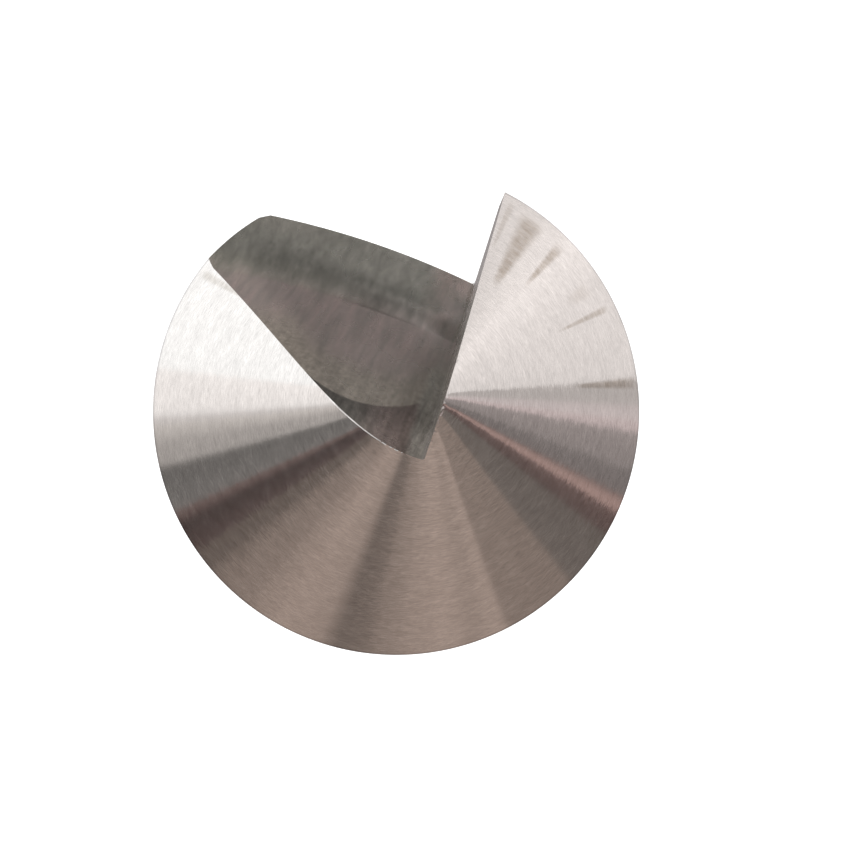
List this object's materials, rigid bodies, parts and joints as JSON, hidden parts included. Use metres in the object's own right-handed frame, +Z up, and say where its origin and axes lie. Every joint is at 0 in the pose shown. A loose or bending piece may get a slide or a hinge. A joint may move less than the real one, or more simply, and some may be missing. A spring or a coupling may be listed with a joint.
{
  "type": "countersink bit",
  "caption": "Straight-shank countersink bit with a single flute: a relieved steel cone with one ground cutting edge, for chamfering hole mouths.",
  "frame": {"origin": "centre of the shank's end face, where the tool stands", "axes": "+Z up the tool's axis to its point, +Y outwards along the cutting edge, +X into the metal behind the edge"},
  "size_m": [0.0254, 0.0253, 0.0699],
  "materials": {
    "ground_steel": "finely ground high-speed steel"
  },
  "bodies": {
    "root": {"countersink_bit": "ground_steel"}
  },
  "joints": []
}
